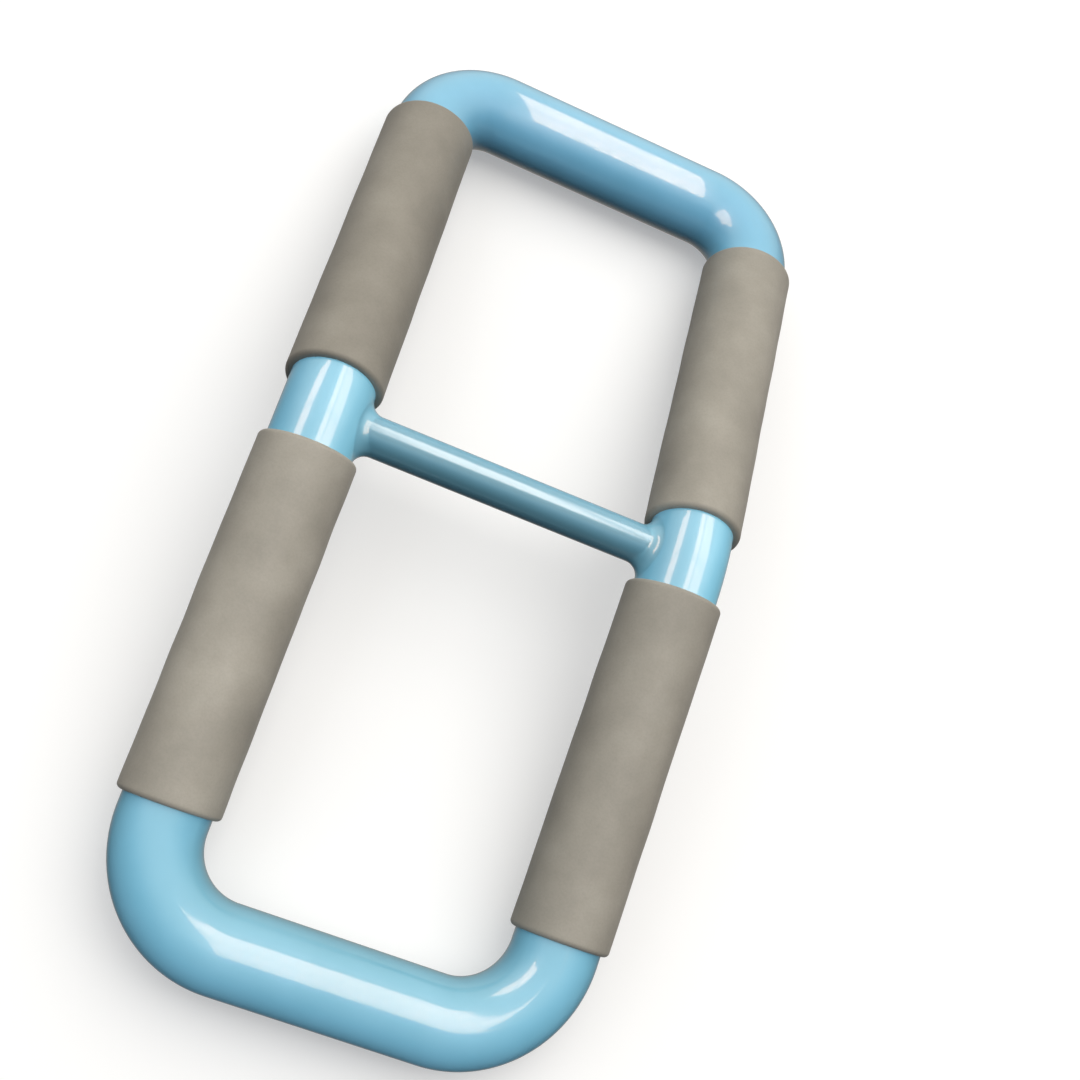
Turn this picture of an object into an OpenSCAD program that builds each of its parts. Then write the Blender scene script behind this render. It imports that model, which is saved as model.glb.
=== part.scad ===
// Four-grip hand frame: a closed loop of round tube, folded slightly at a thin crossbar.
// Lengths are in millimetres. +X runs along the crossbar to the right, +Y from the lower
// bow to the upper bow, +Z up. The frame lies on its two end bars with the crossbar raised,
// and its origin is at the bottom centre of its bounding box.

/* [Tube frame] */
// Distance between the centre lines of the two side tubes
frame_w = 113.5; // [90:0.5:150]
// Outside diameter of the frame tube
tube_d = 25; // [20:0.5:30]
// Wall of the frame tube
tube_wall = 1.5; // [1:0.1:2.5]
// Angle by which the two halves of the frame are folded down from flat
fold_angle = 20; // [6:1:30]
// Radius inside the two corners of the upper bow
upper_inner_r = 8; // [3:0.5:16]
// Radius inside the two corners of the lower bow
lower_inner_r = 14.5; // [6:0.5:24]
// Straight bare tube between the upper grips and the corners
upper_gap = 0; // [0:0.5:15]
// Straight bare tube between the lower grips and the corners
lower_gap = 3.5; // [0:0.5:15]

/* [Crossbar] */
// Outside diameter of the crossbar
bar_d = 12; // [8:0.5:15]
// Wall of the crossbar
bar_wall = 1.5; // [1:0.1:2.5]
// Radius of the blend between the crossbar and each post
blend_r = 4.4; // [2:0.1:6]
// Radial gap between the crossbar and the holes in the posts
bar_gap = 0.05; // [0.02:0.01:0.2]
// Length of crossbar inside each post
bar_reach = 2; // [0.5:0.5:5]

/* [Grips] */
// Length of one grip sleeve
grip_len = 103.5; // [80:0.5:130]
// Thickness of the grip sleeve
grip_wall = 2; // [1.5:0.1:5]
// Rounding of the grip's two outer rims
grip_lip_r = 1.4; // [0.5:0.1:1.4]
// Bare tube between the two grips on one side
bare_len = 21; // [19:0.5:40]

/* [Joints under the grips] */
// Length of one joining spigot
spigot_len = 38; // [30:1:60]
// Wall of the spigot
spigot_wall = 2; // [1:0.1:3]
// Radial gap between spigot and tube
spigot_gap = 0.05; // [0.02:0.01:0.2]
// Straight tube between the end of the post's bend and the spigot
spigot_setback = 3.2; // [1:0.1:10]
// Diameter of the slotted spring pins
pin_d = 4; // [3:0.5:5]
// Wall of the spring pins
pin_wall = 0.8; // [0.5:0.1:1]
// Width of the slot along each pin
pin_slot = 0.8; // [0.4:0.1:1.2]
// Distance between the two pins of one joint
pin_pitch = 20; // [12:1:26]
// How far each pin's ends stay below the tube's surface
pin_sink = 0.3; // [0.3:0.1:1]

/* [Hidden] */
$fn = 96;

LEFT = -1;
RIGHT = 1;
BLUE = "#8cc3da";
STEEL = "silver";
TAUPE = "#a19d95";

// Bare tube on each side of the post's bend, before the grip
bend_margin = 1.7;
// What bending takes off each face of a post's wall
bend_thin = 0.01;
// Angle by which the bend laps into the straight tube at each end
bend_lap = 0.2;
// Facets round the crossbar, and across the blend, of one fillet
blend_steps = 72;
blend_rows = 8;
// Extra length of tools that cut right through
cut = 1;

tube_r = tube_d / 2;
bar_r = bar_d / 2;
upper_corner_r = tube_r + upper_inner_r;
lower_corner_r = tube_r + lower_inner_r;
grip_start = bare_len / 2;
grip_end = grip_start + grip_len;
upper_len = grip_end + upper_gap + upper_corner_r;
lower_len = grip_end + lower_gap + lower_corner_r;

// The halves slope by different angles, because both end bars lie on one floor
upper_slope = atan2(lower_len * sin(fold_angle), upper_len + lower_len * cos(fold_angle));
lower_slope = fold_angle - upper_slope;
fold_y = (lower_len * cos(lower_slope) - upper_len * cos(upper_slope)) / 2;
fold_z = tube_r + upper_len * sin(upper_slope);

// The posts bend on an arc that ends just short of the grips
bend_half = grip_start - bend_margin;
post_bend_r = bend_half / tan(fold_angle / 2);
bend_tube_r = tube_r - bend_thin;
hub_tilt = (lower_slope - upper_slope) / 2;
hub_drop = post_bend_r * (1 / cos(fold_angle / 2) - 1);

spigot_start = bend_half + spigot_setback;
joint_at = spigot_start + spigot_len / 2;
spigot_r = tube_r - tube_wall - spigot_gap;
pin_len = tube_d - 2 * pin_sink - pin_d * pin_d / (4 * tube_r);
blend = min(blend_r, grip_start - bar_r - 0.1);

// --- Frames of reference -------------------------------------------------------------

// Upper half: +Y runs from the fold along the legs, +Z is square to them
module upper_half() {
    translate([0, fold_y, fold_z])
        rotate([-upper_slope, 0, 0])
            children();
}

// Lower half, as the upper
module lower_half() {
    translate([0, fold_y, fold_z])
        rotate([lower_slope, 0, 0])
            mirror([0, 1, 0])
                children();
}

// Crossbar: origin on its axis at mid-width, +Z along the bisector of the fold
module hub() {
    translate([0, fold_y, fold_z])
        rotate([hub_tilt, 0, 0])
            translate([0, 0, -hub_drop])
                children();
}

// Centre line of one side tube
module side(way) {
    translate([way * frame_w / 2, 0, 0])
        children();
}

// --- Shapes that repeat --------------------------------------------------------------

module ring(r, wall) {
    difference() {
        circle(r = r);
        circle(r = r - wall);
    }
}

// Tube along +Y between two distances
module tube_y(r, wall, from, to) {
    translate([0, to, 0])
        rotate([90, 0, 0])
            linear_extrude(to - from)
                ring(r, wall);
}

// Pins of one joint, square to the plane of its half
module at_pins() {
    for (step = [-1, 1])
        translate([0, joint_at + step * pin_pitch / 2, 0])
            children();
}

module pin_holes(way) {
    side(way)
        at_pins()
            cylinder(d = pin_d, h = tube_d + 2 * cut, center = true);
}

// Half turn of tube: two legs, two corners and the end bar
module bow(len, corner_r) {
    difference() {
        union() {
            for (way = [LEFT, RIGHT]) {
                side(way)
                    tube_y(tube_r, tube_wall, joint_at, len - corner_r);
                translate([way * (frame_w / 2 - corner_r), len - corner_r, 0])
                    rotate([0, 0, way == RIGHT ? 0 : 90])
                        rotate_extrude(angle = 90)
                            translate([corner_r, 0])
                                ring(tube_r, tube_wall);
            }
            translate([frame_w / 2 - corner_r, len, 0])
                rotate([0, -90, 0])
                    linear_extrude(frame_w - 2 * corner_r)
                        ring(tube_r, tube_wall);
        }
        pin_holes(LEFT);
        pin_holes(RIGHT);
    }
}

// Bent tube of a post: a straight piece at each end, and between them an arc about the centre
// of the bend, which laps into the walls of the straight pieces
module bent_tube() {
    translate([0, 0, -post_bend_r]) {
        rotate([0, 90, 0])
            rotate([0, 0, 180 - fold_angle / 2 - bend_lap])
                rotate_extrude(angle = fold_angle + 2 * bend_lap)
                    translate([post_bend_r, 0])
                        ring(bend_tube_r, tube_wall - 2 * bend_thin);
        for (end = [-1, 1])
            rotate([-end * fold_angle / 2, 0, 0])
                translate([0, 0, post_bend_r])
                    rotate([-end * 90, 0, 0])
                        linear_extrude(joint_at - bend_half)
                            ring(tube_r, tube_wall);
    }
}

// Bare tube between two grips, with the hole for the crossbar
module post(way) {
    difference() {
        hub()
            side(way)
                bent_tube();
        hub()
            rotate([0, 90, 0])
                cylinder(r = bar_r + bar_gap, h = frame_w, center = true);
        upper_half()
            pin_holes(way);
        lower_half()
            pin_holes(way);
    }
}

module spigot(way) {
    difference() {
        side(way)
            tube_y(spigot_r, spigot_wall, spigot_start, spigot_start + spigot_len);
        pin_holes(way);
    }
}

// Slotted spring pins of one joint
module pins(way) {
    side(way)
        at_pins()
            difference() {
                cylinder(d = pin_d, h = pin_len, center = true);
                cylinder(d = pin_d - 2 * pin_wall, h = tube_d, center = true);
                translate([0, -pin_slot / 2, -tube_r])
                    cube([pin_d, pin_slot, tube_d]);
            }
}

// Half section of a grip sleeve, rounded at both outer rims
module grip_section() {
    outside = tube_r + grip_wall;
    core = outside - grip_lip_r;
    translate([tube_r, 0])
        square([grip_wall - grip_lip_r, grip_len]);
    translate([tube_r, grip_lip_r])
        square([grip_wall, grip_len - 2 * grip_lip_r]);
    for (at = [grip_lip_r, grip_len - grip_lip_r])
        intersection() {
            translate([core, at])
                circle(r = grip_lip_r);
            translate([core, 0])
                square([grip_lip_r, grip_len]);
        }
}

module grip(way) {
    side(way)
        translate([0, grip_end, 0])
            rotate([90, 0, 0])
                rotate_extrude()
                    grip_section();
}

// --- Blend between the crossbar and a post -------------------------------------------
// A ball of the blend's radius rolls in the corner between the crossbar, whose axis is X,
// and the bent post, whose centre line is an arc about (0, 0, -post_bend_r). The blend is
// the ball's near side: for each angle round the crossbar, an arc from bar to post.

// Height of a point above the post's arc, in the plane of the arc
function above_arc(y, z) = norm([y, z + post_bend_r]) - post_bend_r;

// Point of the post's centre line that is nearest to p
function arc_foot(p) =
    let (k = post_bend_r / norm([p.y, p.z + post_bend_r]))
    [0, p.y * k, (p.z + post_bend_r) * k - post_bend_r];

// Point at distance out from the crossbar's axis, where the post's surface, grown by
// grow, crosses it
function on_post(angle, out, grow) =
    let (y = out * cos(angle), z = out * sin(angle), up = above_arc(y, z))
    [sqrt(pow(bend_tube_r + grow, 2) - up * up), y, z];

// The same point pushed square onto the post's surface
function to_post(p) =
    let (foot = arc_foot(p))
    foot + (p - foot) * bend_tube_r / norm(p - foot);

// Arc between two directions
function turn(a, b, share) =
    let (whole = acos(a * b))
    (a * sin((1 - share) * whole) + b * sin(share * whole)) / sin(whole);

// One closed section of the blend
function blend_section(angle) =
    let (ball = on_post(angle, bar_r + blend, blend),
         to_bar = [0, -cos(angle), -sin(angle)],
         foot = arc_foot(ball),
         to_tube = (foot - ball) / norm(foot - ball),
         corner = on_post(angle, bar_r, 0),
         rim = ball + blend * to_tube)
    concat([for (row = [0:blend_rows]) ball + blend * turn(to_bar, to_tube, row / blend_rows)],
           [to_post((rim + corner) / 2), corner]);

module fillet() {
    sections = [for (step = [0:blend_steps - 1]) blend_section(step * 360 / blend_steps)];
    size = len(sections[0]);
    points = [for (section = sections) each section];
    faces = [for (step = [0:blend_steps - 1], row = [0:size - 1])
                let (next = (step + 1) % blend_steps, far = (row + 1) % size,
                     a = step * size + row, b = step * size + far,
                     c = next * size + far, d = next * size + row)
                each [[a, b, c], [a, c, d]]];
    polyhedron(points, faces);
}

// --- Sub-parts -----------------------------------------------------------------------

module upper_bow() color(BLUE) upper_half() bow(upper_len, upper_corner_r);

module lower_bow() color(BLUE) lower_half() bow(lower_len, lower_corner_r);

module left_post() color(BLUE) post(LEFT);

module right_post() color(BLUE) post(RIGHT);

module crossbar()
    color(BLUE)
        hub()
            rotate([0, 90, 0])
                linear_extrude(frame_w - tube_d + 2 * (tube_wall + bar_reach), center = true)
                    ring(bar_r, bar_wall);

module left_fillet() color(BLUE) hub() side(LEFT) fillet();

module right_fillet() color(BLUE) hub() mirror([1, 0, 0]) side(LEFT) fillet();

module upper_left_spigot() color(STEEL) upper_half() spigot(LEFT);

module upper_right_spigot() color(STEEL) upper_half() spigot(RIGHT);

module lower_left_spigot() color(STEEL) lower_half() spigot(LEFT);

module lower_right_spigot() color(STEEL) lower_half() spigot(RIGHT);

module upper_left_pins() color(STEEL) upper_half() pins(LEFT);

module upper_right_pins() color(STEEL) upper_half() pins(RIGHT);

module lower_left_pins() color(STEEL) lower_half() pins(LEFT);

module lower_right_pins() color(STEEL) lower_half() pins(RIGHT);

module upper_left_grip() color(TAUPE) upper_half() grip(LEFT);

module upper_right_grip() color(TAUPE) upper_half() grip(RIGHT);

module lower_left_grip() color(TAUPE) lower_half() grip(LEFT);

module lower_right_grip() color(TAUPE) lower_half() grip(RIGHT);

upper_bow();
lower_bow();
left_post();
right_post();
crossbar();
left_fillet();
right_fillet();
upper_left_spigot();
upper_right_spigot();
lower_left_spigot();
lower_right_spigot();
upper_left_pins();
upper_right_pins();
lower_left_pins();
lower_right_pins();
upper_left_grip();
upper_right_grip();
lower_left_grip();
lower_right_grip();
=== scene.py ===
"""Studio picture of a four-grip hand frame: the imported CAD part, with its coat, sleeves and light.

Lengths are metres in the part's own frame: +X runs along the crossbar, +Y from the lower bow to
the upper bow, and +Z up from the floor that the two end bars lie on.
"""

import math

import bmesh
import bpy
import numpy as np
from mathutils import Matrix, Vector


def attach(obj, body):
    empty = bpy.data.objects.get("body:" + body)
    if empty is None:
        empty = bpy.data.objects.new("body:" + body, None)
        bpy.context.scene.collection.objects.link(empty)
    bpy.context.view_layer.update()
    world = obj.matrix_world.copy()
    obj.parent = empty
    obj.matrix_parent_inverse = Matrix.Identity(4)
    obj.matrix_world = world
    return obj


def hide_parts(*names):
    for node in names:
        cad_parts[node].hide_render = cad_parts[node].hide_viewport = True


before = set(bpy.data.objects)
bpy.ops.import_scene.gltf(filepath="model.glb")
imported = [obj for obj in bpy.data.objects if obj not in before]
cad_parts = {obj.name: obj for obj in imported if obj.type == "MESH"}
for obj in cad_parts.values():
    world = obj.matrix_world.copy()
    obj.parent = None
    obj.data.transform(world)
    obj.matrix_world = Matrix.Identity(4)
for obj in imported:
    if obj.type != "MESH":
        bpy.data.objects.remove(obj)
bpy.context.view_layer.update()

# --- Sizes of the part ---------------------------------------------------------------------

MM = 0.001
FRAME_W = 113.5 * MM  # between the centre lines of the side tubes
TUBE_R = 12.5 * MM
TUBE_WALL = 1.5 * MM
FOLD = math.radians(20)  # between the two halves
UPPER_CORNER_R = 20.5 * MM  # centre line
LOWER_CORNER_R = 27 * MM
LOWER_GAP = 3.5 * MM  # bare tube between a lower grip and its corner
BAR_R = 6 * MM
BAR_WALL = 1.5 * MM
BAR_GAP = 0.05 * MM  # round the crossbar in the posts' holes
BAR_REACH = 2 * MM  # crossbar inside each post
BLEND_R = 4.4 * MM  # between crossbar and post
GRIP_LEN = 103.5 * MM
GRIP_WALL = 2 * MM
GRIP_LIP_R = 1.5 * MM  # rounding of the grips' outer rims
BARE_LEN = 21 * MM  # bare post between two grips
BEND_MARGIN = 1.7 * MM  # straight tube between a post's bend and the grip
SPIGOT_SETBACK = 3.2 * MM
SPIGOT_LEN = 38 * MM
PIN_R = 2 * MM
PIN_PITCH = 20 * MM
DRILL_REACH = 1.1 * TUBE_R  # of a pin hole's drill, to each side of the tube's centre line

GRIP_START = BARE_LEN / 2
GRIP_END = GRIP_START + GRIP_LEN
UPPER_LEN = GRIP_END + UPPER_CORNER_R
LOWER_LEN = GRIP_END + LOWER_GAP + LOWER_CORNER_R

# Both end bars lie on the floor, so the halves slope by different angles
UPPER_SLOPE = math.atan2(LOWER_LEN * math.sin(FOLD), UPPER_LEN + LOWER_LEN * math.cos(FOLD))
LOWER_SLOPE = FOLD - UPPER_SLOPE
FOLD_Y = (LOWER_LEN * math.cos(LOWER_SLOPE) - UPPER_LEN * math.cos(UPPER_SLOPE)) / 2
FOLD_Z = TUBE_R + UPPER_LEN * math.sin(UPPER_SLOPE)

# The posts bend on an arc about a point below the crossbar
BEND_HALF = GRIP_START - BEND_MARGIN
BEND_R = BEND_HALF / math.tan(FOLD / 2)
HUB_DROP = BEND_R * (1 / math.cos(FOLD / 2) - 1)

# Bow and post meet at the middle of a spigot under each grip
JOINT_AT = BEND_HALF + SPIGOT_SETBACK + SPIGOT_LEN / 2

AT_FOLD = Matrix.Translation((0, FOLD_Y, FOLD_Z))
UPPER_HALF = AT_FOLD @ Matrix.Rotation(-UPPER_SLOPE, 4, "X")
LOWER_HALF = AT_FOLD @ Matrix.Rotation(LOWER_SLOPE, 4, "X") @ Matrix.Diagonal((1, -1, 1, 1))
HUB_TURN = Matrix.Rotation((LOWER_SLOPE - UPPER_SLOPE) / 2, 4, "X")
HUB = AT_FOLD @ HUB_TURN @ Matrix.Translation((0, 0, -HUB_DROP))

SIDES = {"left": -1, "right": 1}
HALVES = {
    "upper": (UPPER_HALF, UPPER_LEN, UPPER_CORNER_R),
    "lower": (LOWER_HALF, LOWER_LEN, LOWER_CORNER_R),
}

# A grip's skin isn't quite even: waves round it, and the length of each along it
GRIP_SWELL = 0.035 * MM
GRIP_WAVES = ((1, 90 * MM), (2, 60 * MM), (2, 35 * MM), (3, 25 * MM), (4, 18 * MM))

# Fineness of the meshes
PIPE_FACETS = 144  # round a pipe
PIPE_STEP = 5 * MM  # between sections of a straight pipe
CORNER_SECTIONS = 46
BEND_SECTIONS = 24
POST_END_SECTIONS = 5  # in the straight piece at each end of a post
DRILL_FACETS = 64
GRIP_FACETS = 160
GRIP_SECTIONS = 110  # along the outer skin
BORE_SECTIONS = 12  # along the inner skin
LIP_SECTIONS = 12
BLEND_FACETS = 288
BLEND_SECTIONS = 41  # from crossbar to post
SHARP = math.radians(35)  # a sharper edge isn't shaded smooth

# --- Colours ---------------------------------------------------------------------------------

# From dark to light
COAT_TONES = ((0.160, 0.422, 0.578), (0.177, 0.446, 0.610))
GRIP_TONES = ((0.216, 0.204, 0.178), (0.250, 0.236, 0.206), (0.288, 0.273, 0.240))
GRAIN_SHADES = ((0.93, 0.93, 0.93), (1, 1, 1))
FLOOR_TONES = ((0.605, 0.62, 0.645), (0.625, 0.64, 0.665))
SPIGOT_STEEL = (0.52, 0.53, 0.55)
PIN_STEEL = (0.42, 0.42, 0.43)
BRUSHED = 0.82  # brightness in the brush lines

# Tints of the lights
SUN = (1.03, 0.98, 0.88)
SHADE = (0.88, 0.87, 1.03)
GLASS = (1.0, 0.61, 0.41)
PALE_GLASS = (1.0, 0.86, 0.77)
GOLD = (1.20, 0.98, 0.78)
WARM = (1.04, 0.99, 0.92)
COOL = (0.92, 1.0, 1.06)
BLUE = (0.76, 0.97, 1.22)

# --- The picture -----------------------------------------------------------------------------

CAMERA_AT = (-0.06705, -0.16260, 0.43626)
CAMERA_TURN = (16.778, -17.169, 17.282)  # degrees
CAMERA_LENS = 50.97  # millimetres
CAMERA_SENSOR = 36  # millimetres
CEILING = 1.2  # height of the lights
FLOOR_HALF = 20.0  # half the floor's width
FLOOR_GLOW = (0.34, 0.75)  # under the part, and far from it
FLOOR_GLOW_AT = (0.3, 2.5)  # distances from the middle
BACKDROP = 1.0  # brightness of what lies behind the floor
WINDOW_BAR = 4  # half the width of the faint bar across a window, in degrees
WINDOW_BAR_SHADE = 0.72  # its brightness, as a share of the window's


# --- Shader nodes ----------------------------------------------------------------------------

NOISE_LOW, NOISE_HIGH = 0.3, 0.7  # most of a noise lies between them


class Tree:
    """The node tree of a material, lamp or world, with short calls for the nodes they share."""

    def __init__(self, owner):
        owner.use_nodes = True
        self.nodes = owner.node_tree.nodes
        self.links = owner.node_tree.links

    def ramp(self, value, stops):
        """Colour along value, from (position, (r, g, b)) stops."""
        made = self.nodes.new("ShaderNodeValToRGB")
        elements = made.color_ramp.elements
        while len(elements) < len(stops):
            elements.new(0.5)
        for element, (position, colour) in zip(elements, stops):
            element.position = position
            element.color = (*colour, 1)
        self.links.new(value, made.inputs["Fac"])
        return made.outputs["Color"]

    def rescale(self, value, low, high, to_low=0, to_high=1, easing="LINEAR"):
        """value, with low to high turned into to_low to to_high."""
        made = self.nodes.new("ShaderNodeMapRange")
        made.interpolation_type = easing
        ends = {"From Min": low, "From Max": high, "To Min": to_low, "To Max": to_high}
        for name, end in ends.items():
            made.inputs[name].default_value = end
        self.links.new(value, made.inputs["Value"])
        return made.outputs["Result"]

    def mix(self, kind, first, second, share=1.0):
        """Two colours mixed by the blend type kind. Each of the three is a value or an output."""
        made = self.nodes.new("ShaderNodeMix")
        made.data_type = "RGBA"
        made.blend_type = kind
        for socket, value in (("Factor", share), ("A", first), ("B", second)):
            if isinstance(value, bpy.types.NodeSocket):
                self.links.new(value, made.inputs[socket])
            else:
                made.inputs[socket].default_value = value
        return made.outputs["Result"]


class Surface(Tree):
    """A material under construction, whose textures are laid over the part in metres."""

    def __init__(self, name):
        self.material = bpy.data.materials.new(name)
        super().__init__(self.material)
        self.shader = self.nodes["Principled BSDF"]
        self.place = self.nodes.new("ShaderNodeTexCoord").outputs["Object"]

    def set(self, **values):
        """Fixed values of the shader's sockets, with _ for a space in their names."""
        for name, value in values.items():
            self.shader.inputs[name.replace("_", " ")].default_value = value

    def join(self, output, socket):
        self.links.new(output, self.shader.inputs[socket])

    def noise(self, size, detail=2.0, roughness=0.5, stretch=(1, 1, 1)):
        """Noise whose blobs are about size metres across, stretched along the axes."""
        scaled = self.nodes.new("ShaderNodeMapping")
        scaled.inputs["Scale"].default_value = stretch
        self.links.new(self.place, scaled.inputs["Vector"])
        made = self.nodes.new("ShaderNodeTexNoise")
        made.inputs["Scale"].default_value = 1 / size
        made.inputs["Detail"].default_value = detail
        made.inputs["Roughness"].default_value = roughness
        self.links.new(scaled.outputs["Vector"], made.inputs["Vector"])
        return made.outputs["Fac"]

    def tones(self, noise, colours, high=NOISE_HIGH):
        """Colours in equal steps over the noise's middle range."""
        return self.ramp(noise, list(zip(np.linspace(NOISE_LOW, high, len(colours)), colours)))

    def spread(self, noise, low, high):
        """The noise's middle range as low to high."""
        return self.rescale(noise, NOISE_LOW, NOISE_HIGH, low, high)

    def bump(self, height, depth, under=None):
        """A bumped normal, for height from 0 to 1 over depth metres."""
        made = self.nodes.new("ShaderNodeBump")
        made.inputs["Strength"].default_value = 1.0
        made.inputs["Distance"].default_value = depth
        self.links.new(height, made.inputs["Height"])
        if under is not None:
            self.links.new(under, made.inputs["Normal"])
        return made.outputs["Normal"]


# --- Materials -------------------------------------------------------------------------------


def frame_coat():
    """Glossy light blue coat, a little uneven in its tone and its surface."""
    coat = Surface("frame_coat")
    coat.set(IOR=1.5, Coat_Weight=1.0, Coat_Roughness=0.05, Coat_IOR=1.55)
    coat.join(coat.tones(coat.noise(16 * MM, detail=3), COAT_TONES), "Base Color")
    coat.join(coat.spread(coat.noise(10 * MM, detail=3), 0.29, 0.38), "Roughness")
    waves = coat.bump(coat.noise(10 * MM, detail=1), 0.03 * MM)
    orange_peel = coat.bump(coat.noise(2.2 * MM, detail=1), 0.008 * MM, waves)
    coat.join(orange_peel, "Coat Normal")
    coat.join(waves, "Normal")
    return coat.material


def grip_elastomer():
    """Matte taupe elastomer: a fine moulded grain under a soft sheen, with a cloudy tone."""
    rubber = Surface("grip_elastomer")
    rubber.set(IOR=1.48, Sheen_Weight=0.12, Sheen_Roughness=0.45)
    clouds = rubber.tones(rubber.noise(22 * MM, detail=4, roughness=0.55), GRIP_TONES)
    grain = rubber.noise(0.7 * MM, detail=3, roughness=0.6)
    shades = rubber.tones(grain, GRAIN_SHADES, high=0.6)
    rubber.join(rubber.mix("MULTIPLY", clouds, shades), "Base Color")
    rubber.join(rubber.spread(rubber.noise(6 * MM, detail=3), 0.46, 0.60), "Roughness")
    dents = rubber.bump(rubber.noise(8 * MM, detail=2), 0.06 * MM)
    rubber.join(rubber.bump(grain, 0.03 * MM, dents), "Normal")
    return rubber.material


def brushed_steel(name, colour, stretch):
    """Bare steel with fine brush lines, which run along the axis where stretch is small."""
    steel = Surface(name)
    steel.set(Metallic=1.0, Anisotropic=0.4)
    lines = steel.noise(0.4 * MM, detail=4, stretch=stretch)
    dull = tuple(BRUSHED * c for c in colour)
    steel.join(steel.tones(lines, (dull, colour)), "Base Color")
    steel.join(steel.spread(lines, 0.24, 0.42), "Roughness")
    steel.join(steel.bump(lines, 0.008 * MM), "Normal")
    return steel.material


def studio_floor():
    """Pale matte floor, which glows a little so that shadows on it stay soft and light."""
    floor = Surface("studio_floor")
    floor.set(Specular_IOR_Level=0.2, Emission_Strength=1.0)
    floor.join(floor.tones(floor.noise(250 * MM, detail=3), FLOOR_TONES), "Base Color")
    floor.join(floor.spread(floor.noise(50 * MM), 0.75, 0.85), "Roughness")
    away = floor.nodes.new("ShaderNodeVectorMath")
    away.operation = "LENGTH"
    floor.links.new(floor.place, away.inputs[0])
    glow = floor.rescale(away.outputs["Value"], *FLOOR_GLOW_AT, *FLOOR_GLOW, easing="SMOOTHSTEP")
    floor.join(glow, "Emission Color")
    return floor.material


# --- Meshes ----------------------------------------------------------------------------------


def in_scene(name, data):
    """A new object with this data."""
    made = bpy.data.objects.new(name, data)
    bpy.context.scene.collection.objects.link(made)
    return made


def closed_grid(name, points, material):
    """A smooth closed skin of quads over points[row][column], which wrap round both ways."""
    rows, columns = points.shape[:2]
    index = np.arange(rows * columns).reshape(rows, columns)
    down, across = np.roll(index, -1, axis=0), np.roll(index, -1, axis=1)
    faces = np.stack([index, across, np.roll(down, -1, axis=1), down], axis=-1).reshape(-1, 4)
    flat = points.reshape(-1, 3)
    a, b, c, d = (flat[faces[:, k]] for k in range(4))
    if np.einsum("ij,ij->", a, np.cross(b, c) + np.cross(c, d)) < 0:
        faces = faces[:, ::-1]
    mesh = bpy.data.meshes.new(name)
    mesh.from_pydata(flat.tolist(), [], faces.tolist())
    mesh.update()
    mesh.materials.append(material)
    return smoothed(in_scene(name, mesh))


def smoothed(piece):
    """Smooth shading, apart from the edges where the surface turns sharply."""
    piece.data.shade_smooth()
    piece.data.set_sharp_from_angle(angle=SHARP)
    return piece


def placed(matrix, points):
    """points, of any shape with 3 last, moved by a 4x4 matrix."""
    m = np.array(matrix)
    return points @ m[:3, :3].T + m[:3, 3]


def pipe(name, stations, radius, wall, place, material):
    """A pipe with open ends along stations: centres, and two unit vectors across the pipe."""
    centres, across, up = (np.array(values)[:, None] for values in zip(*stations))
    turn = np.linspace(0, 2 * math.pi, PIPE_FACETS, endpoint=False)[None, :, None]
    spoke = np.cos(turn) * across + np.sin(turn) * up
    skins = [centres + radius * spoke, (centres + (radius - wall) * spoke)[::-1]]
    return closed_grid(name, placed(place, np.concatenate(skins)), material)


def straight(start, end, across, up, first=True, last=True):
    """Stations from start to end, with or without the first and the last."""
    start, end = np.array(start), np.array(end)
    count = max(2, round(np.linalg.norm(end - start) / PIPE_STEP))
    shares = np.linspace(0, 1, count + 1)[0 if first else 1 : None if last else -1]
    return [(start + (end - start) * share, across, up) for share in shares]


def bow_stations(length, corner):
    """Centre line of a bow in its half's plane, from the left joint round to the right one."""
    side_x, bend_y, up = FRAME_W / 2, length - corner, (0, 0, 1)
    end_x = side_x - corner

    def corner_stations(centre_x, *angles):
        centre = np.array((centre_x, bend_y, 0))
        for angle in np.radians(np.linspace(*angles, CORNER_SECTIONS)):
            out = np.array((math.cos(angle), math.sin(angle), 0))
            yield centre + corner * out, out, up

    return [
        *straight((-side_x, JOINT_AT, 0), (-side_x, bend_y, 0), (-1, 0, 0), up, last=False),
        *corner_stations(-end_x, 180, 90),
        *straight((-end_x, length, 0), (end_x, length, 0), (0, 1, 0), up, first=False, last=False),
        *corner_stations(end_x, 90, 0),
        *straight((side_x, bend_y, 0), (side_x, JOINT_AT, 0), (1, 0, 0), up, first=False),
    ]


def post_stations(side):
    """Centre line of a post in the hub's frame: an arc with a straight piece at each end."""
    x, across = side * FRAME_W / 2, (1, 0, 0)

    def on_arc(angle, along=0.0):
        up = np.array((0, math.sin(angle), math.cos(angle)))
        tangent = np.array((0, math.cos(angle), -math.sin(angle)))
        return np.array((x, 0, -BEND_R)) + BEND_R * up + along * tangent, across, up

    end = FOLD / 2
    steps = np.linspace(JOINT_AT - BEND_HALF, 0, POST_END_SECTIONS, endpoint=False)
    below = [on_arc(-end, -along) for along in steps]
    bend = [on_arc(angle) for angle in np.linspace(-end, end, BEND_SECTIONS)]
    above = [on_arc(end, along) for along in steps[::-1]]
    return below + bend + above


def rod(start, end, radius):
    """A solid round rod, which drills a hole."""
    start, end = Vector(start), Vector(end)
    mesh = bpy.data.meshes.new("rod")
    made = bmesh.new()
    turn = (end - start).to_track_quat("Z", "Y").to_matrix().to_4x4()
    bmesh.ops.create_cone(
        made,
        cap_ends=True,
        segments=DRILL_FACETS,
        radius1=radius,
        radius2=radius,
        depth=(end - start).length,
        matrix=Matrix.Translation((start + end) / 2) @ turn,
    )
    made.to_mesh(mesh)
    made.free()
    return in_scene("rod", mesh)


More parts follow.
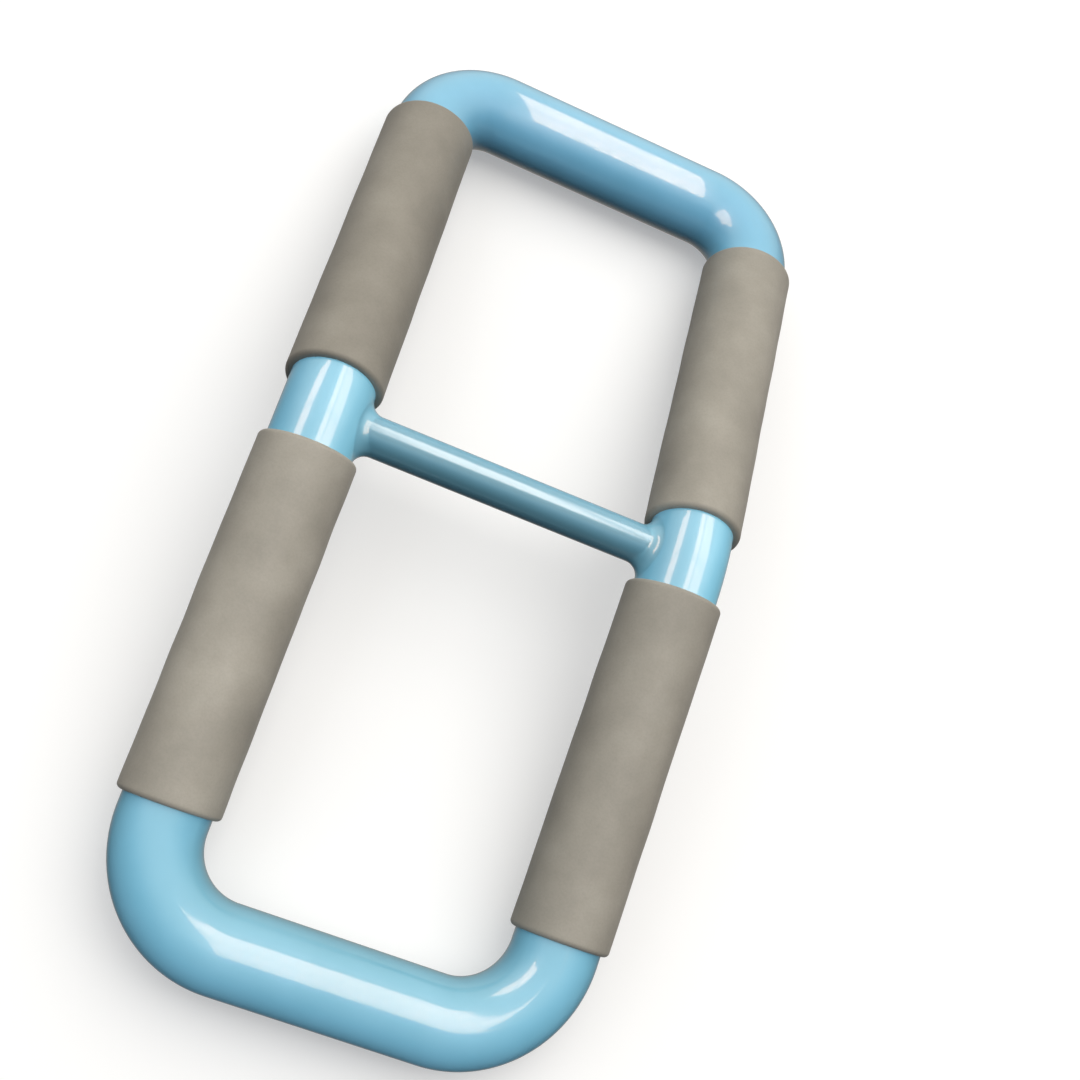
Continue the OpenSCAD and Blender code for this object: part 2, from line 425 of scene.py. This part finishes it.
def pin_rod(half, side, step):
    """A rod through the tube where one pin of a joint is: the bow's at step 1, the post's at -1."""
    x, y = side * FRAME_W / 2, JOINT_AT + step * PIN_PITCH / 2
    ends = (half @ Vector((x, y, z)) for z in (-DRILL_REACH, DRILL_REACH))
    return rod(*ends, PIN_R)


def drilled(piece, rods):
    """piece with a hole for each rod. The rods are used up."""
    for tool in rods:
        hole = piece.modifiers.new("hole", "BOOLEAN")
        hole.operation = "DIFFERENCE"
        hole.solver = "EXACT"
        hole.object = tool
    bpy.context.view_layer.update()
    cut = piece.evaluated_get(bpy.context.evaluated_depsgraph_get())
    mesh = bpy.data.meshes.new_from_object(cut)
    piece.modifiers.clear()
    piece.data = mesh
    for tool in rods:
        bpy.data.objects.remove(tool)
    return smoothed(piece)


def grip_profile():
    """Section of a grip sleeve as (radius, distance along, share of the outer skin) points."""
    inner, outer = TUBE_R, TUBE_R + GRIP_WALL
    skin_len = GRIP_LEN - 2 * GRIP_LIP_R
    first = []
    for turn in np.linspace(0, math.pi / 2, LIP_SECTIONS):
        rise, run = math.sin(turn), 1 - math.cos(turn)
        first.append((outer - GRIP_LIP_R * (1 - rise), GRIP_LIP_R * run, rise))
    skin = []
    for row in range(1, GRIP_SECTIONS):
        skin.append((outer, GRIP_LIP_R + skin_len * row / GRIP_SECTIONS, 1))
    last = [(radius, GRIP_LEN - along, share) for radius, along, share in reversed(first)]
    bore = [(inner, GRIP_LEN * row / BORE_SECTIONS, 0) for row in range(BORE_SECTIONS, -1, -1)]
    return np.array(first + skin + last + bore)


def grip_sleeve(name, half, side, seed, material):
    """A soft sleeve pushed onto a leg: rounded rims, and a skin that isn't quite even."""
    profile = grip_profile()
    draw = np.random.default_rng(seed)
    turn = np.linspace(0, 2 * math.pi, GRIP_FACETS, endpoint=False)
    radius, along, share = (profile[:, k, None] for k in range(3))
    uneven = np.zeros((len(profile), len(turn)))
    for lobes, wave in GRIP_WAVES:
        start = draw.uniform(0, 2 * math.pi, 2)
        swell = np.sin(lobes * turn + start[0]) * np.sin(2 * math.pi * along / wave + start[1])
        uneven += GRIP_SWELL * swell
    r = radius + share * uneven
    points = np.stack([r * np.cos(turn), np.broadcast_to(along, r.shape), r * np.sin(turn)], -1)
    points += (side * FRAME_W / 2, GRIP_START, 0)
    return closed_grid(name, placed(half, points), material)


def above_post(y, z):
    """In the plane of a post: height above its centre line, and the turn of the point from +Z."""
    turn = np.clip(np.arctan2(y, z + BEND_R), -FOLD / 2, FOLD / 2)
    return y * np.sin(turn) + (z + BEND_R) * np.cos(turn) - BEND_R, turn


def on_post(angle, out, grow):
    """Point at distance out from the crossbar's axis on the post's surface, grown by grow."""
    y, z = out * np.cos(angle), out * np.sin(angle)
    up, _ = above_post(y, z)
    return np.stack([np.sqrt((TUBE_R + grow) ** 2 - up**2), y, z], -1)


def foot_on_post(p):
    """Nearest points of the post's centre line."""
    up, turn = above_post(p[..., 1], p[..., 2])
    zero = np.zeros_like(up)
    return p * (0, 1, 1) - up[..., None] * np.stack([zero, np.sin(turn), np.cos(turn)], -1)


def unit(v):
    return v / np.linalg.norm(v, axis=-1, keepdims=True)


def blend_skin(name, side, material):
    """The weld blend of crossbar and post: the near side of a ball that rolls in their corner."""
    angle = np.linspace(0, 2 * math.pi, BLEND_FACETS, endpoint=False)
    ball = on_post(angle, BAR_R + BLEND_R, BLEND_R)
    to_bar = np.stack([np.zeros_like(angle), -np.cos(angle), -np.sin(angle)], -1)
    to_tube = unit(foot_on_post(ball) - ball)
    whole = np.arccos(np.clip((to_bar * to_tube).sum(-1), -1, 1))[:, None]
    rows = []
    for share in (1 - np.cos(np.linspace(0, math.pi, BLEND_SECTIONS))) / 2:
        turned = to_bar * np.sin((1 - share) * whole) + to_tube * np.sin(share * whole)
        rows.append(ball + BLEND_R * turned / np.sin(whole))
    corner = on_post(angle, BAR_R, 0)
    middle = (rows[-1] + corner) / 2
    foot = foot_on_post(middle)
    rows += [foot + unit(middle - foot) * TUBE_R, corner]
    points = np.stack(rows)
    points[..., 0] -= FRAME_W / 2
    points[..., 0] *= -side
    return closed_grid(name, placed(HUB, points), material)


# --- The part --------------------------------------------------------------------------------


def stands_for(piece, node):
    """piece rides on the one body in place of a CAD node, which is hidden."""
    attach(piece, "root")
    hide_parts(node)
    return piece


def bow_tube(half_name):
    """A bow with the holes of its pins."""
    half, length, corner = HALVES[half_name]
    stations = bow_stations(length, corner)
    bow = pipe(f"{half_name}_bow_tube", stations, TUBE_R, TUBE_WALL, half, coat)
    drilled(bow, [pin_rod(half, side, 1) for side in SIDES.values()])
    return stands_for(bow, f"{half_name}_bow")


def padded_grip(half_name, side_name, seed):
    """The soft sleeve on one leg."""
    grip = f"{half_name}_{side_name}_grip"
    half = HALVES[half_name][0]
    sleeve = grip_sleeve(f"{grip}_sleeve", half, SIDES[side_name], seed, rubber)
    stands_for(sleeve, grip)
    return sleeve


def post_tube(side_name):
    """A post with the holes of its pins and of the crossbar."""
    side = SIDES[side_name]
    post = pipe(f"{side_name}_post_tube", post_stations(side), TUBE_R, TUBE_WALL, HUB, coat)
    bore = [HUB @ Vector((x, 0, 0)) for x in (0, side * FRAME_W / 2)]
    pins = [pin_rod(half, side, -1) for half, *_ in HALVES.values()]
    drilled(post, [*pins, rod(*bore, BAR_R + BAR_GAP)])
    return stands_for(post, f"{side_name}_post")


def weld_blend(side_name):
    """The blend of crossbar and post on one side."""
    blend = blend_skin(f"{side_name}_blend", SIDES[side_name], coat)
    return stands_for(blend, f"{side_name}_fillet")


def crossbar_tube():
    """The thin bar, whose ends reach into the posts."""
    end = FRAME_W / 2 - TUBE_R + TUBE_WALL + BAR_REACH
    stations = straight((-end, 0, 0), (end, 0, 0), (0, 1, 0), (0, 0, 1))
    bar = pipe("crossbar_tube", stations, BAR_R, BAR_WALL, HUB, coat)
    return stands_for(bar, "crossbar")


coat = frame_coat()
rubber = grip_elastomer()
steels = {
    "_spigot": brushed_steel("spigot_steel", SPIGOT_STEEL, (1, 0.05, 1)),
    "_pins": brushed_steel("pin_steel", PIN_STEEL, (1, 1, 0.08)),
}
for name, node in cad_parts.items():
    for ending, steel in steels.items():
        if name.endswith(ending):
            node.data.materials.clear()
            node.data.materials.append(steel)

bows, sleeves, tubes, blends = [], [], [], []
for half_name in HALVES:
    bows.append(bow_tube(half_name))
    for side_name in SIDES:
        sleeves.append(padded_grip(half_name, side_name, seed=len(sleeves)))
for side_name in SIDES:
    tubes.append(post_tube(side_name))
    blends.append(weld_blend(side_name))
crossbar = crossbar_tube()
part = [thing for thing in bpy.context.scene.objects if thing.type == "MESH"]

# --- Floor, light and camera -----------------------------------------------------------------


def floor_plane():
    """A wide pale floor. The part's own surfaces don't see it, so their undersides stay dark."""
    mesh = bpy.data.meshes.new("floor")
    corners = [(-1, -1), (1, -1), (1, 1), (-1, 1)]
    mesh.from_pydata([(FLOOR_HALF * x, FLOOR_HALF * y, 0) for x, y in corners], [], [range(4)])
    mesh.materials.append(studio_floor())
    floor = in_scene("floor", mesh)
    floor.visible_diffuse = False
    floor.visible_glossy = False
    return floor


def flag(name, height, *corners):
    """A card close above a corner of a bow that only casts shadow. Its sizes are millimetres."""
    mesh = bpy.data.meshes.new(name)
    mesh.from_pydata([(x * MM, y * MM, height * MM) for x, y in corners], [], [range(4)])
    card = in_scene(name, mesh)
    card.visible_camera = False
    card.visible_diffuse = False
    card.visible_glossy = False
    return card


def collected(name, things):
    """A collection of these objects, for the lights' links."""
    made = bpy.data.collections.new(name)
    for thing in things:
        made.objects.link(thing)
    return made


def overhead(*tilts):
    """Where these tilts from straight up, in degrees, fall on the ceiling, in metres."""
    return [CEILING * math.tan(math.radians(tilt)) for tilt in tilts]


def light_box(name, x, y, radiance, colour, lit, blockers, shine):
    """A lit rectangle of the ceiling, which spans these tilts towards +X and +Y, in degrees.

    It lights only these objects, and only what is in the collection blockers, or anything where
    that is None, can shade them from it. A shining one shows in the coat's gloss, and any other
    only lights the part.
    """
    (left, right), (front, back) = overhead(*x), overhead(*y)
    lamp = bpy.data.lights.new(name, "AREA")
    lamp.shape = "RECTANGLE"
    lamp.size, lamp.size_y = right - left, back - front
    lamp.energy = radiance * math.pi * lamp.size * lamp.size_y
    lamp.color = colour
    box = in_scene(name, lamp)
    box.location = ((left + right) / 2, (front + back) / 2, CEILING)
    box.visible_diffuse = not shine
    box.visible_glossy = shine
    box.light_linking.receiver_collection = collected(f"{name}_lit", lit)
    box.light_linking.blocker_collection = blockers
    return lamp


def panel(name, x, y, radiance, colour, lit, blockers=None):
    """A light box that only lights the part."""
    light_box(name, x, y, radiance, colour, lit, blockers, shine=False)


def window(name, x, y, radiance, colour, lit, fade=2, near=1, blockers=None):
    """A light box that the coat mirrors, with a faint bar across its middle.

    It fades over its first and last degrees in x. near is its brightness in front, against 1
    behind.
    """
    lamp = light_box(name, x, y, radiance, colour, lit, blockers, shine=True)
    panes = Tree(lamp)
    place = panes.nodes.new("ShaderNodeSeparateXYZ")
    within = panes.nodes.new("ShaderNodeNewGeometry").outputs["Parametric"]
    panes.links.new(within, place.inputs[0])

    def graded(axis, span, tilts, shades):
        """Brightness along one axis, from shades at these tilts."""
        low, high = overhead(*span)
        places = [(at - low) / (high - low) for at in overhead(*tilts)]
        return panes.ramp(place.outputs[axis], [(at, (s, s, s)) for at, s in zip(places, shades)])

    across = graded("X", x, (x[0], x[0] + fade, x[1] - fade, x[1]), (0, 1, 1, 0))
    bar, beside = (y[0] + y[1]) / 2, (near + 1) / 2
    tilts = (y[0], bar - WINDOW_BAR, bar, bar + WINDOW_BAR, y[1])
    deep = graded("Y", y, tilts, (near, beside, WINDOW_BAR_SHADE * beside, beside, 1))
    strength = panes.nodes.new("ShaderNodeMath")
    strength.operation = "MULTIPLY"
    panes.links.new(across, strength.inputs[0])
    panes.links.new(deep, strength.inputs[1])
    panes.links.new(strength.outputs["Value"], panes.nodes["Emission"].inputs["Strength"])


class Room(Tree):
    """The world's shader under construction: brightness by direction."""

    def __init__(self):
        world = bpy.data.worlds.new("room")
        bpy.context.scene.world = world
        super().__init__(world)
        self.direction = self.nodes.new("ShaderNodeTexCoord").outputs["Generated"]

    def toward(self, aim, *stops):
        """Colour by the cosine of the angle to aim, from (cosine, brightness, tint) stops."""
        cosine = self.nodes.new("ShaderNodeVectorMath")
        cosine.operation = "DOT_PRODUCT"
        cosine.inputs[1].default_value = Vector(aim).normalized()
        self.links.new(self.direction, cosine.inputs[0])
        share = self.rescale(cosine.outputs["Value"], -1, 1)

        def stop(at, brightness, tint):
            return (at + 1) / 2, [brightness * c for c in tint]

        return self.ramp(share, [stop(*values) for values in stops])


def world_light():
    """A pale room: bright above and behind the part, and dark in front of it and below.

    The second lobe is the floor behind the part, as the edges of the coat mirror it.
    """
    room = Room()
    above = room.toward(
        (-0.1, 0.62, 0.78),
        (-0.7, 0.02, SHADE),
        (-0.1, 0.04, SHADE),
        (0.24, 0.25, SHADE),
        (0.6, 0.90, SUN),
        (1.0, 1.15, SUN),
    )
    behind = room.toward((0.1, 0.5, -0.86), (0.5, 0.0, SUN), (0.9, 0.27, SUN))
    light = room.mix("ADD", above, behind)
    seen = room.nodes.new("ShaderNodeLightPath").outputs["Is Camera Ray"]
    shown = room.mix("MIX", light, (BACKDROP, BACKDROP, BACKDROP, 1), seen)
    background = room.nodes["Background"]
    background.inputs["Strength"].default_value = 1.0
    room.links.new(shown, background.inputs["Color"])


def camera():
    """The camera, which stands where the photograph's did."""
    lens = bpy.data.cameras.new("camera")
    lens.sensor_width = CAMERA_SENSOR
    lens.lens = CAMERA_LENS
    lens.clip_start, lens.clip_end = 0.01, 3 * FLOOR_HALF
    made = in_scene("camera", lens)
    made.location = CAMERA_AT
    made.rotation_euler = [math.radians(a) for a in CAMERA_TURN]
    bpy.context.scene.camera = made


upper_bow, lower_bow = bows
posts = [*tubes, *blends]
floor = floor_plane()
world_light()

# Cards that keep the bow windows' mirror images off the bows' corners
flags = [
    flag("upper_left_flag", 50, (-60, 115), (-24, 115), (-36, 190), (-60, 190)),
    flag("upper_right_flag", 50, (38, 105), (66, 105), (66, 175), (38, 175)),
    flag("lower_left_flag", 70, (-60, -160), (-29, -160), (-29, -108), (-60, -108)),
    flag("lower_right_flag", 70, (53, -148), (68, -148), (68, -95), (53, -95)),
]
casters = collected("casters", part)
casters_and_flags = collected("casters_and_flags", [*part, *flags])

# What the coat mirrors: name, tilts towards +X and +Y, radiance, tint, and what it lights
window("upper_window", (0, 20), (-2.5, 57), 5.9, GLASS, [upper_bow], 2, 1.25, casters_and_flags)
window("lower_window", (0, 20), (-25, 26), 6.3, GLASS, [lower_bow], 4, 0.75, casters_and_flags)
window("bow_left_window", (-52, -33), (-4, 51), 5.8, GLASS, [lower_bow], blockers=casters)
window("bow_small_window", (-42, -5), (-30, 4), 5.6, GLASS, [upper_bow], blockers=casters)
window("post_window", (0, 17), (-14, 49), 6.4, GLASS, posts, fade=4)
window("post_side_window", (13, 44), (-14, 49), 5.2, GLASS, posts, fade=4)
window("post_left_window", (-52, -33), (-4, 51), 6.2, GLASS, posts)
window("bar_window", (0, 17), (10, 51), 7.6, PALE_GLASS, [crossbar], fade=4)
window("bar_side_window", (13, 44), (10, 51), 5.4, PALE_GLASS, [crossbar], fade=4)
window("bar_left_window", (-51, -33), (-4, 51), 5.4, PALE_GLASS, [crossbar])
window("sleeve_window", (0, 17), (-14, 49), 3.0, PALE_GLASS, sleeves, fade=4, blockers=casters)

# Broad light for the matte tones, in the same order
panel("upper_bow_key", (-15, 45), (-5, 55), 0.7, GOLD, [upper_bow], casters)
panel("upper_bow_fill", (-20, 20), (-22, 18), 2.7, BLUE, [upper_bow], casters)
panel("lower_bow_key", (-15, 45), (-5, 55), 1.2, GOLD, [lower_bow], casters)
panel("lower_bow_fill", (-30, 30), (-32, 4), 1.0, COOL, [lower_bow], casters)
panel("lower_bow_front_fill", (-20, 50), (-65, -40), 2.5, COOL, [lower_bow], casters)
panel("post_key", (-15, 45), (-5, 55), 1.4, WARM, posts)
panel("post_left_fill", (-62, -30), (-30, 30), 3.1, COOL, tubes)
panel("post_right_fill", (35, 62), (-30, 40), 6.2, WARM, tubes)
panel("blend_left_fill", (-62, -30), (5, 50), 2.6, COOL, blends)
panel("blend_right_fill", (35, 62), (5, 60), 4.5, WARM, blends)
panel("bar_key", (-15, 45), (30, 62), 4.2, COOL, [crossbar])
panel("key", (-15, 45), (-5, 55), 1.65, WARM, [*sleeves, floor], casters)
panel("left_fill", (-62, -30), (-30, 30), 1.0, COOL, [*bows, *sleeves, floor], casters)
panel("sleeve_fill", (-30, 30), (-32, 4), 0.9, COOL, sleeves[1:], casters)
panel("left_sleeve_fill", (-30, 30), (-40, 10), 1.2, WARM, [sleeves[2]], casters)
panel("right_sleeve_fill", (-30, 30), (-40, 10), 0.6, WARM, [sleeves[1], sleeves[3]], casters)
camera()

bpy.context.scene.view_settings.view_transform = "Standard"
